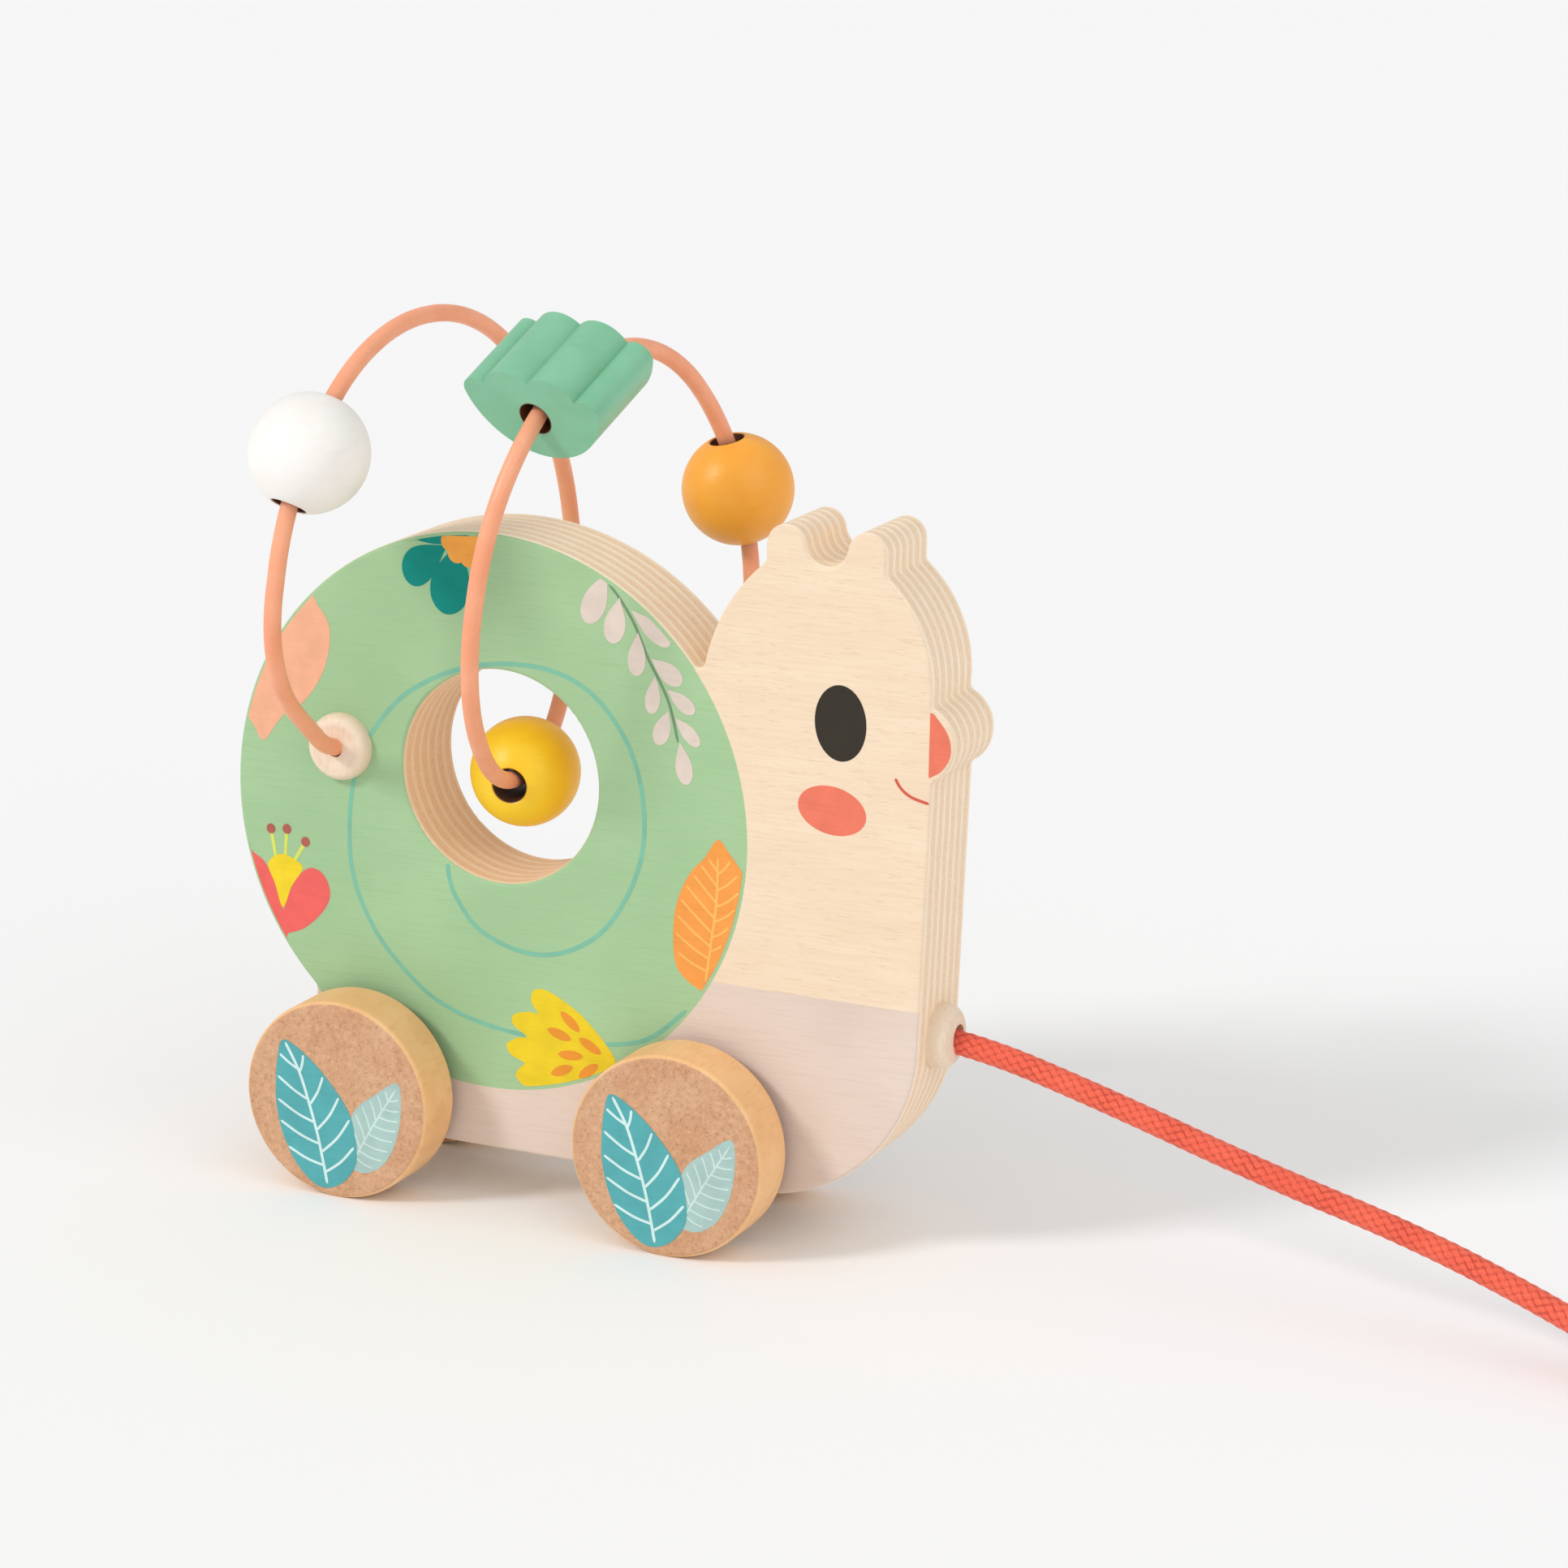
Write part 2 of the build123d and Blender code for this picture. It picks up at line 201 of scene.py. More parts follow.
def make_plywood():
    """Birch plywood: plies on the edges, and on the faces grain, with shell and foot painted."""
    s = Shade("birch_plywood", roughness=0.6, specular=0.35)
    _, y, z = s.axes()
    depth = s.math("ABSOLUTE", y)
    face_height = PLATE_FACE - VENEER_DEPTH
    face = s.fade(depth, (face_height - 0.15) * MM, face_height * MM)

    streaks = s.noise((9, 4, 0.36), detail=4, warp=0.3)
    figure = s.noise((40, 9, 7), detail=2, warp=0.6)
    pores = s.noise((3.5, 3, 0.26), detail=1)
    veneer = s.mix(figure, tint(245, 224, 198), tint(236, 210, 181))
    veneer = s.mix(s.fade(streaks, 0.42, 0.68, 0, 0.38), veneer, tint(231, 203, 170))
    veneer = s.mix(s.fade(pores, 0.62, 0.72, 0, 0.38), veneer, tint(216, 182, 146))

    wobble = s.math("MULTIPLY", s.math("SUBTRACT", s.noise((9, 9, 9), detail=2), 0.5), 0.5 * MM)
    across = s.math("ADD", y, wobble)
    turn_per_metre = math.pi / (2 * PLATE_FACE / PLIES * MM)
    layer = s.math("COSINE", s.math("MULTIPLY", across, turn_per_metre))
    fibres = s.noise((6, 0.3, 6), detail=3)
    ends = s.noise((0.7, 0.3, 0.7), detail=2)
    light_ply = s.mix(s.fade(fibres, 0.35, 0.7), tint(253, 236, 211), tint(247, 224, 194))
    dark_ply = s.mix(s.fade(ends, 0.35, 0.65), tint(248, 223, 192), tint(238, 207, 172))
    plies = s.mix(s.fade(layer, -0.15, 0.15), dark_ply, light_ply)
    glue = s.fade(s.math("ABSOLUTE", layer), 0.02, 0.2, 0.5, 0.0)
    plies = s.mix(glue, plies, tint(206, 166, 128))
    centred = s.vector("SUBTRACT", s.place, tuple(place(SHELL_X, 0, SHELL_Z)))
    reach = s.vector("LENGTH", s.vector("MULTIPLY", centred, (1, 0, 1)), output="Value")
    # Ply edges round the shell's hole are darkened towards its middle: painted shade in the recess.
    hole_painted_shade = s.fade(reach, (SHELL_RADIUS - 20) * MM, (SHELL_RADIUS - 10) * MM, 0.35, 0.0)
    plies = s.mix(hole_painted_shade, plies, tint(222, 190, 154), blend="MULTIPLY")
    wood = s.mix(face, plies, veneer)
    in_shell = s.fade(reach, (SHELL_RADIUS - 0.06) * MM, (SHELL_RADIUS + 0.04) * MM, 1, 0)
    on_foot = s.fade(z, (FOOT_PAINT_TOP - 0.05) * MM, (FOOT_PAINT_TOP + 0.05) * MM, 1, 0)
    clouds = s.noise((30, 30, 30), detail=2)
    shell_paint = s.mix(s.fade(clouds, 0.3, 0.7), tint(168, 202, 155), tint(159, 194, 147))
    shell_paint = s.mix(s.fade(streaks, 0.45, 0.75, 0, 0.4), shell_paint, tint(148, 188, 138))
    foot_paint = s.mix(s.fade(clouds, 0.3, 0.7), tint(228, 209, 196), tint(220, 199, 185))
    foot_paint = s.mix(s.fade(streaks, 0.45, 0.75, 0, 0.4), foot_paint, tint(214, 190, 175))
    painted = s.math("MULTIPLY", face, in_shell)
    wood = s.mix(s.math("MULTIPLY", face, on_foot), wood, foot_paint)
    s.colour(s.mix(painted, wood, shell_paint))

    s.bump(s.mix(face, layer, streaks), 0.05)
    s.rough(s.fade(streaks, 0.3, 0.8, 0.52, 0.7))
    return s.material


def make_wheel(name, centre):
    """Pressed wood fibre: speckled on the sawn faces, smooth and lacquered round the rim, with a
    painted highlight where the rim colour runs onto each face's edge.
    """
    s = Shade(name, roughness=0.6, specular=0.35)
    centred = s.vector("SUBTRACT", s.place, tuple(centre))
    reach = s.vector("LENGTH", s.vector("MULTIPLY", centred, (1, 0, 1)), output="Value")
    # The rim mask starts 0.75 mm inside the rim, so the lighter rim colour also paints a thin
    # highlight on the rounded edge of each face.
    rim = s.fade(reach, (WHEEL_RADIUS - 0.75) * MM, (WHEEL_RADIUS - 0.35) * MM)
    fibre = s.noise((1.0, 1.0, 1.0), detail=4, roughness=0.75)
    grains = s.noise((0.45, 0.45, 0.45), detail=2, roughness=0.6)
    clouds = s.noise((9, 9, 9), detail=3)
    face = s.mix(s.fade(clouds, 0.3, 0.7), tint(213, 166, 130), tint(204, 153, 115))
    face = s.mix(s.fade(fibre, 0.5, 0.7, 0, 0.6), face, tint(168, 118, 82))
    face = s.mix(s.fade(fibre, 0.47, 0.34, 0, 0.45), face, tint(230, 190, 152))
    face = s.mix(s.fade(grains, 0.6, 0.7, 0, 0.5), face, tint(144, 98, 66))
    turned = s.noise((0.5, 5, 5), detail=3)
    band = s.mix(s.fade(clouds, 0.3, 0.7), tint(245, 198, 145), tint(238, 187, 131))
    band = s.mix(s.fade(turned, 0.5, 0.75, 0, 0.35), band, tint(214, 160, 104))
    s.colour(s.mix(rim, face, band))
    s.bump(s.math("MULTIPLY", fibre, s.math("SUBTRACT", 1.0, rim)), 0.12)
    return s.material


RING_PITCH = 2.3


def make_turned(name, centre, axis):
    """A small turned wooden button, with faint rings round its axis."""
    s = Shade(name, roughness=0.5, specular=0.4)
    centred = s.vector("SUBTRACT", s.place, tuple(centre))
    along = s.vector("MULTIPLY", centred, tuple(1 - abs(a) for a in axis))
    reach = s.vector("LENGTH", along, output="Value")
    wander = s.math("MULTIPLY", s.noise((5, 5, 5)), 1.2 * MM)
    spread = s.math("MULTIPLY", s.math("ADD", reach, wander), 2 * math.pi / (RING_PITCH * MM))
    rings = s.math("SINE", spread)
    fibre = s.noise((0.5, 0.5, 4), detail=3)
    wood = s.mix(s.fade(rings, -0.6, 0.9, 0, 0.25), tint(240, 220, 196), tint(228, 200, 170))
    s.colour(s.mix(s.fade(fibre, 0.45, 0.75, 0, 0.35), wood, tint(214, 182, 148)))
    s.bump(fibre, 0.02)
    return s.material


def make_dowel():
    """Bare beech dowel, grain along the axle."""
    s = Shade("beech_dowel", roughness=0.65, specular=0.3)
    fibre = s.noise((0.5, 12, 0.5), detail=4)
    flecks = s.noise((0.4, 2.2, 0.4), detail=1)
    wood = s.mix(s.fade(fibre, 0.3, 0.7), tint(229, 197, 152), tint(208, 172, 126))
    s.colour(s.mix(s.fade(flecks, 0.62, 0.7, 0, 0.7), wood, tint(168, 126, 84)))
    s.bump(fibre, 0.04)
    return s.material


def make_paint(name, centre, axis, main, shade, bore):
    """Satin paint on a bead: faint grain and orange peel outside; in the bore, bare wood darkened
    with painted shade.
    """
    s = Shade(name, roughness=0.38, specular=0.45)
    centred = s.vector("SUBTRACT", s.place, tuple(centre))
    along = s.vector("DOT_PRODUCT", centred, tuple(axis), output="Value")
    reach_squared = s.vector("DOT_PRODUCT", centred, centred, output="Value")
    reach = s.math("SQRT", s.math("SUBTRACT", reach_squared, s.math("MULTIPLY", along, along)))
    inside = s.fade(reach, (bore + 0.05) * MM, (bore + 0.3) * MM, 1, 0)
    grain = s.noise((7, 7, 0.9), detail=3, warp=0.5)
    peel = s.noise((0.9, 0.9, 0.9), detail=2)
    clouds = s.noise((9, 9, 9), detail=2)
    coat = s.mix(s.fade(clouds, 0.3, 0.75, 0, 0.5), main, shade)
    coat = s.mix(s.fade(grain, 0.5, 0.8, 0, 0.35), coat, shade)
    # Inside the bore: bare wood, darkened well past its own tone as painted shade in the hole.
    s.colour(s.mix(inside, coat, tint(92, 58, 34)))
    s.rough(s.fade(peel, 0.3, 0.7, 0.34, 0.46))
    s.bump(s.math("ADD", s.math("MULTIPLY", peel, 0.5), grain), 0.03)
    return s.material


def make_coating():
    """Soft plastic sleeve over the wire, a little dusty, with faint cloudy variation in tone and
    gloss.
    """
    s = Shade("wire_sleeve", roughness=0.42, specular=0.45)
    clouds = s.noise((8, 8, 8), detail=3)
    specks = s.noise((0.6, 0.6, 0.6), detail=2)
    sleeve = s.mix(s.fade(clouds, 0.3, 0.7), tint(249, 172, 134), tint(244, 160, 120))
    s.colour(s.mix(s.fade(specks, 0.62, 0.75, 0, 0.4), sleeve, tint(226, 136, 98)))
    s.rough(s.fade(clouds, 0.3, 0.7, 0.36, 0.5))
    s.bump(specks, 0.012)
    return s.material


def make_nylon():
    """Natural nylon washer."""
    s = Shade("natural_nylon", roughness=0.4, specular=0.5)
    clouds = s.noise((2, 2, 2), detail=2)
    s.colour(s.mix(clouds, tint(244, 241, 232), tint(232, 227, 214)))
    s.bump(clouds, 0.01)
    return s.material


RIB_PITCH = 0.7


def make_tie():
    """Flat paper-faced tie with a fine rib."""
    s = Shade("paper_tie", roughness=0.7, specular=0.3)
    ribs = s.math("SINE", s.math("MULTIPLY", s.axes()[0], 2 * math.pi / (RIB_PITCH * MM)))
    fibre = s.noise((0.4, 0.4, 0.4))
    s.colour(s.mix(fibre, tint(250, 248, 241), tint(228, 223, 212)))
    s.bump(s.math("ADD", ribs, fibre), 0.04)
    return s.material


def make_braid():
    """Braided polyester, with painted shade darkening the low places where the strands' relief dips
    between and under each other.
    """
    s = Shade("coral_braid", roughness=0.75, specular=0.3)
    s.shader.inputs["Sheen Weight"].default_value = 0.15
    s.shader.inputs["Sheen Roughness"].default_value = 0.5
    node = s.tree.nodes.new("ShaderNodeAttribute")
    node.attribute_name = "strand"
    high = node.outputs["Fac"]
    fibres = s.noise((0.35, 0.35, 0.35), detail=3, roughness=0.7)
    tone = s.noise((14, 14, 14), detail=2)
    yarn = s.mix(s.fade(tone, 0.3, 0.7), tint(243, 104, 78), tint(236, 92, 68))
    yarn = s.mix(s.fade(fibres, 0.45, 0.75, 0, 0.55), yarn, tint(250, 138, 108))
    # Where the strand attribute is low, in the crevices between and under strands, the yarn is
    # darkened: painted shade.
    s.colour(s.mix(s.fade(high, 0.15, 0.75, 0.75, 0.0), yarn, tint(172, 48, 34)))
    s.bump(fibres, 0.08)
    return s.material


inks = {}


def ink(colour):
    """Matt screen ink of one colour, with the veneer's grain showing faintly through."""
    if colour not in inks:
        s = Shade("ink_%02x%02x%02x" % colour, roughness=0.6, specular=0.2)
        streaks = s.noise((16, 4, 0.42), detail=4, warp=0.25)
        clouds = s.noise((5, 5, 5), detail=3)
        deep = tuple(0.9 * value for value in colour)
        laid = s.mix(s.fade(clouds, 0.3, 0.75, 0, 0.5), tint(*colour), tint(*deep))
        s.colour(s.mix(s.fade(streaks, 0.5, 0.8, 0, 0.45), laid, tint(*deep)))
        s.bump(streaks, 0.04)
        inks[colour] = s.material
    return inks[colour]


# --- Flat outlines for the prints --------------------------------------------------------
def smooth(points, closed=False, steps=6):
    """A Catmull-Rom curve through flat points."""
    count = len(points)
    found = []
    for index in range(count if closed else count - 1):
        def near(offset):
            at = index + offset
            return points[at % count] if closed else points[min(max(at, 0), count - 1)]

        before, start, end, after = (near(offset) for offset in (-1, 0, 1, 2))
        for step in range(steps):
            t = step / steps
            found.append(tuple(
                0.5 * (2 * b + (c - a) * t + (2 * a - 5 * b + 4 * c - d) * t * t
                       + (3 * b - a - 3 * c + d) * t ** 3)
                for a, b, c, d in zip(before, start, end, after)
            ))
    return found if closed else found + [points[-1]]


def stroke(points, width, steps=6):
    """A ribbon of even width along a smooth line, with tapered round ends."""
    line = smooth(points, steps=steps)
    left, right = [], []
    for index, (x, z) in enumerate(line):
        ahead = line[min(index + 1, len(line) - 1)]
        behind = line[max(index - 1, 0)]
        run = math.hypot(ahead[0] - behind[0], ahead[1] - behind[1]) or 1.0
        across = (-(ahead[1] - behind[1]) / run, (ahead[0] - behind[0]) / run)
        half = width / 2 * (0.45 if index in (0, len(line) - 1) else 1.0)
        left.append((x + across[0] * half, z + across[1] * half))
        right.append((x - across[0] * half, z - across[1] * half))
    return left + right[::-1]


def blade(base, tip, width, widest=0.5, base_power=0.7, tip_power=0.7, bend=0.0, steps=18):
    """A leaf or petal from base to tip. A power of 0.5 rounds an end and 1 or more points it."""
    run = (tip[0] - base[0], tip[1] - base[1])
    length = math.hypot(*run)
    along = (run[0] / length, run[1] / length)
    across = (-along[1], along[0])
    warp = math.log(0.5) / math.log(widest)
    sides = ([], [])
    for step in range(steps + 1):
        share = (1 - math.cos(math.pi * step / steps)) / 2
        even = share ** warp
        power = base_power if even < 0.5 else tip_power
        half = width / 2 * (4 * even * (1 - even)) ** power
        drift = bend * length * 4 * share * (1 - share)
        for side, sign in zip(sides, (1, -1)):
            side.append((
                base[0] + along[0] * share * length + across[0] * (drift + sign * half),
                base[1] + along[1] * share * length + across[1] * (drift + sign * half),
            ))
    return sides[0][1:] + sides[1][-2:0:-1] + [base]


def ellipse(centre, semi_x, semi_z, tilt=0.0, steps=48):
    lean = math.radians(tilt)
    found = []
    for step in range(steps):
        turn = 2 * math.pi * step / steps
        across, up = semi_x * math.cos(turn), semi_z * math.sin(turn)
        found.append((
            centre[0] + across * math.cos(lean) - up * math.sin(lean),
            centre[1] + across * math.sin(lean) + up * math.cos(lean),
        ))
    return found


def in_shell(outline):
    """The outline, held inside the shell's flat face."""
    limit = SHELL_RADIUS - SHELL_EDGE
    found = []
    for x, z in outline:
        reach = math.hypot(x, z - SHELL_Z)
        share = min(1.0, limit / reach)
        found.append((x * share, SHELL_Z + (z - SHELL_Z) * share))
    return found


INK_THICKNESS = 0.03
LAYER_RISE = 0.02
SHAPE_RISE = 0.0015


class Print:
    """Ink on a flat face across Y. Each shape is a thin closed sheet, a little above the last.

    side is -1 for a face towards -Y and 1 for one towards +Y. forward is 1 where the outlines'
    first number runs along +X, and -1 where it runs along -X.
    """

    def __init__(self, name, body, slot, origin, face, side, forward=1):
        self.name, self.body, self.slot = name, body, slot
        self.origin, self.face, self.side = origin, face, side
        self.forward = forward
        self.mesh = bmesh.new()
        self.materials = []
        self.laid = 0

    def add(self, colour, outline, layer):
        """One flat shape of ink. An outline may cross itself, and what it encloses is filled."""
        material = ink(colour)
        if material not in self.materials:
            self.materials.append(material)
        number = self.materials.index(material)
        flat, _, triangles, *_ = delaunay_2d_cdt(
            [Vector(point) for point in outline], [], [range(len(outline))], 1, 1e-4
        )
        rings = []
        self.laid += 1
        rise = INK_THICKNESS + LAYER_RISE * layer + SHAPE_RISE * self.laid
        for height in (self.face + rise, self.face - INK_THICKNESS):
            rings.append([
                self.mesh.verts.new(place(
                    self.origin[0] + self.forward * x,
                    self.side * height,
                    self.origin[1] + z,
                ))
                for x, z in flat
            ])
        top, bottom = rings
        runs = {
            (triangle[at - 1], triangle[at]) for triangle in triangles for at in range(3)
        }
        made = [
            self.mesh.faces.new([top[at] for at in triangle]) for triangle in triangles
        ]
        made += [
            self.mesh.faces.new([bottom[at] for at in triangle[::-1]]) for triangle in triangles
        ]
        made += [
            self.mesh.faces.new((top[end], top[start], bottom[start], bottom[end]))
            for start, end in runs if (end, start) not in runs
        ]
        for face in made:
            face.material_index = number

    def finish(self):
        """Turns the shapes into one object that rides on the body."""
        loose = [vertex for vertex in self.mesh.verts if not vertex.link_faces]
        bmesh.ops.delete(self.mesh, geom=loose, context="VERTS")
        bmesh.ops.recalc_face_normals(self.mesh, faces=self.mesh.faces)
        data = bpy.data.meshes.new(self.name)
        self.mesh.to_mesh(data)
        self.mesh.free()
        for material in self.materials:
            data.materials.append(material)
        piece = link(bpy.data.objects.new(self.name, data))
        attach(piece, self.body)


def veined_leaf(sheet, leaf, vein, outline, midrib, pairs, width, layer=1):
    """A leaf with a midrib and slightly curved side veins."""
    sheet.add(leaf, outline, layer)
    sheet.add(vein, stroke(midrib, width * 1.15), layer + 1)
    for start, end in pairs:
        middle = (
            (start[0] + end[0]) / 2 + 0.05 * (end[1] - start[1]),
            (start[1] + end[1]) / 2 - 0.06 * abs(end[0] - start[0]),
        )
        sheet.add(vein, stroke([start, middle, end], width), layer + 1)


SIDES = ((-1, "right"), (1, "left"))

# Ink colours, sRGB from 0 to 255
CORAL = (238, 124, 99)
YELLOW = (243, 213, 42)
PETAL_YELLOW = (240, 210, 40)
FLECK_ORANGE = (236, 153, 52)
APRICOT = (250, 171, 76)
PEACH = (246, 181, 146)
LEAF_ORANGE = (247, 160, 76)
VEIN_ORANGE = (252, 190, 104)
RED = (240, 104, 98)
STAMEN = (219, 227, 98)
STAMEN_TOP = (178, 98, 86)
SPIRAL_GREEN = (128, 192, 165)
STEM_GREEN = (118, 148, 116)
SPRIG_GREY = (226, 211, 198)
TEAL = (0, 140, 128)
LARGE_LEAF_BLUE = (88, 172, 176)
LARGE_VEIN_BLUE = (212, 238, 236)
SMALL_LEAF_GREY = (172, 201, 196)
SMALL_VEIN_GREY = (205, 228, 222)
EYE_BLACK = (54, 49, 40)
SMILE = (214, 96, 78)

SPIRAL = [
    (45.2, 46.9), (37.2, 39.9), (28.9, 37.3), (19, 36.3), (9.5, 36.2), (-2.1, 37.6),
    (-11.7, 40.9), (-18.7, 46.0), (-24.6, 52), (-29.1, 59.5), (-31.2, 66), (-31.8, 73.1),
    (-31.3, 81.7), (-29.4, 89.4), (-26.1, 96.1), (-18.6, 104.6), (-7.4, 110.8), (3.7, 113.4),
    (14.6, 113.2), (23.7, 109.4), (30.9, 101.4), (34.6, 91.8), (35.3, 80.2), (32.2, 69.7),
    (25.9, 60.3), (16.8, 54.8), (7.6, 54.0), (-1.7, 57.3), (-7.0, 63.4), (-8.6, 67.6), (-8.9, 70.2),
]


def print_plate(side, hand):
    """The motifs on one face of the plate, each a print of its own."""
    def on_plate(name):
        return Print(name + "_" + hand, "snail", "plywood", (SHELL_X, 0), PLATE_FACE, side)

    sheet = on_plate("spiral_print")
    sheet.add(SPIRAL_GREEN, stroke(SPIRAL, 0.95), 0)
    sheet.finish()

    sheet = on_plate("teal_flower_print")
    sheet.add(TEAL, in_shell(blade((-8.6, 136.4), (-18.4, 128.2), 7.4, 0.66, 0.8, 0.5, -0.06)), 1)
    sheet.add(TEAL, in_shell(blade((-6.4, 137.0), (-9.6, 122.2), 8.9, 0.62, 0.75, 0.55)), 1)
    sheet.add(TEAL, in_shell(blade((-4, 138.6), (-18.4, 137.6), 3.6, 0.5, 0.9, 0.9)), 1)
    scallops = []
    scallop_steps = 59
    for step in range(scallop_steps + 1):
        turn = math.pi + math.pi * 1.15 * step / scallop_steps
        reach = 4.9 + 0.9 * abs(math.sin(4.2 * turn)) ** 0.7
        scallops.append((-4.7 + reach * math.cos(turn), 138.0 + reach * math.sin(turn)))
    sheet.add(APRICOT, in_shell(scallops + [(1.0, 140), (-9, 140)]), 2)
    sheet.finish()

    sheet = on_plate("peach_leaf_print")
    peach = smooth([
        (-43.0, 123.5), (-38.6, 120.4), (-36.4, 117.0), (-36.2, 112.6), (-37.6, 107.4),
        (-40.2, 102.8), (-43.4, 99.2), (-46.4, 97.6), (-49.0, 94.6), (-52.0, 90.9),
        (-54.2, 93.8), (-57, 98.5), (-56, 110),
    ], closed=True)
    sheet.add(PEACH, in_shell(peach), 1)
    sheet.finish()

    sheet = on_plate("sprig_print")
    sheet.add(STEM_GREEN, in_shell(stroke([
        (27.0, 132.4), (29.7, 129.3), (32.8, 124.7), (35.9, 118.1), (38.7, 113.4),
        (40.8, 108.9), (42.6, 102.0),
    ], 0.55)), 1)
    for base, tip, width in (
        ((26.6, 134.6), (22.2, 123.9), 5.2), ((29.5, 129.9), (27.8, 120.4), 4.7),
        ((33.6, 123.3), (33.2, 114.4), 3.9), ((37.5, 114.9), (36.6, 107.1), 3.3),
        ((40.5, 108.3), (38.1, 101.0), 3.6), ((43.0, 102.2), (44.6, 93.6), 3.7),
        ((31.9, 127.6), (40.5, 121.3), 3.7), ((36.5, 118.3), (43.2, 113.9), 4.0),
        ((40.0, 112.5), (46.1, 108.3), 3.2), ((41.8, 107.1), (47.2, 101.8), 3.0),
    ):
        sheet.add(SPRIG_GREY, in_shell(blade(base, tip, width, 0.62, 0.85, 0.5)), 2)
    sheet.finish()

    sheet = on_plate("red_flower_print")
    for points in (
        [(-47.8, 54.6), (-45.6, 60.2), (-42.9, 63.9), (-40.6, 65.0), (-38.3, 64.2), (-36.8, 61.9),
         (-36.6, 59.0), (-38.5, 55.6), (-42.6, 51.8), (-47.4, 49.9), (-50.5, 49.5)],
        [(-57, 68), (-54.8, 66.6), (-52.0, 64.8), (-49.7, 60.7), (-48.4, 57.3), (-47.4, 54.0),
         (-46.5, 50.5), (-49.5, 47.5), (-58, 56)],
    ):
        sheet.add(RED, in_shell(smooth(points, closed=True)), 1)
    sheet.add(YELLOW, smooth([
        (-47.7, 55.6), (-49.6, 60.6), (-51.2, 64.2), (-49.9, 66.2), (-47.5, 67.1), (-45.0, 66.3),
        (-42.9, 64.6), (-45.6, 60.4),
    ], closed=True), 2)
    for root, top in (((-49.2, 65.6), (-50.4, 72.2)), ((-47.1, 66.4), (-46.6, 72.6)),
                      ((-45.3, 65.4), (-42.2, 70.4))):
        sheet.add(STAMEN, stroke([root, top], 0.75), 1)
        sheet.add(STAMEN_TOP, ellipse(top, 1.0, 1.05), 3)
    sheet.finish()

    sheet = on_plate("orange_leaf_print")
    midrib = [(51.7, 79.6), (51.5, 70.2), (50.6, 62.7), (50.0, 58.0), (49.4, 53.6)]
    outline = in_shell(smooth([
        (51.6, 83.2), (48.8, 79.2), (45.4, 75.2), (42.8, 69.0), (42.1, 62.7), (42.7, 56.6),
        (44.9, 53.6), (48.4, 51.6), (52, 50.5), (57, 62), (59, 74), (56.6, 77.8), (54.0, 80.9),
    ], closed=True))
    pairs = (
        ((51.6, 76.8), (49.7, 79.0)), ((51.6, 73.6), (48.0, 77.6)), ((51.5, 70.2), (46.4, 75.4)),
        ((51.1, 67.0), (44.8, 73.0)), ((50.8, 63.8), (43.7, 70.0)), ((50.4, 61.0), (42.9, 66.6)),
        ((50.1, 58.4), (42.7, 62.8)), ((49.7, 55.8), (43.3, 58.8)),
        ((51.8, 76.2), (54.4, 79.2)), ((51.6, 72.8), (56.0, 76.4)), ((51.4, 69.4), (56.4, 73.0)),
        ((51.0, 66.2), (55.6, 69.4)), ((50.7, 63.0), (54.2, 65.4)), ((50.3, 60.0), (52.8, 61.6)),
    )
    veined_leaf(sheet, LEAF_ORANGE, VEIN_ORANGE, outline, midrib, pairs, 0.45)
    sheet.finish()

    sheet = on_plate("yellow_flower_print")
    outline = smooth([
        (29.6, 33.6), (27.4, 37.0), (25.0, 39.5), (21.5, 42.6), (17.2, 45.1), (13.4, 46.6),
        (10.8, 46.0), (10.4, 43.6), (11.9, 41.3), (9.8, 41.4), (6.4, 40.3), (6.2, 38.2),
        (9.4, 36.0), (7.6, 35.6), (4.8, 33.8), (5.8, 31.6), (8.9, 30.3), (7.6, 28.9),
        (7.0, 27.0), (10.2, 25.0), (17.5, 26.2), (22.5, 28.2), (27.2, 31.2),
    ], closed=True, steps=5)
    sheet.add(PETAL_YELLOW, in_shell(outline), 1)
    for start, end in (
        ((17.1, 42.5), (21.4, 38.9)), ((14.1, 38.4), (19.5, 36.9)), ((21.3, 37.5), (26.3, 34.9)),
        ((16.6, 33.4), (22.2, 33.7)), ((15.0, 28.9), (19.9, 31.1)), ((21.4, 29.2), (25.6, 32.5)),
    ):
        sheet.add(FLECK_ORANGE, blade(start, end, 2.1, 0.5, 0.6, 0.6), 2)
    sheet.finish()

    sheet = on_plate("face_print")
    sheet.add(EYE_BLACK, ellipse((77.4, 110.05), 5.45, 7.6, 3), 1)
    sheet.add(CORAL, ellipse((76.0, 92.35), 7.3, 4.85, -8), 1)
    smile = [(89.2, 100.5), (90.4, 98.7), (92.6, 97.2), (96.3, 96.3)]
    sheet.add(SMILE, stroke(smile, 0.6), 1)
    nose = [(96.1, 101.6)] + smooth([
        (96.3, 101.5), (98.6, 103.0), (100.2, 105.4), (100.55, 107.9), (99.7, 110.8), (96.9, 114.2),
    ]) + [(96.1, 114.4)]
    sheet.add(CORAL, nose, 1)
    sheet.finish()


for side, hand in SIDES:
    print_plate(side, hand)

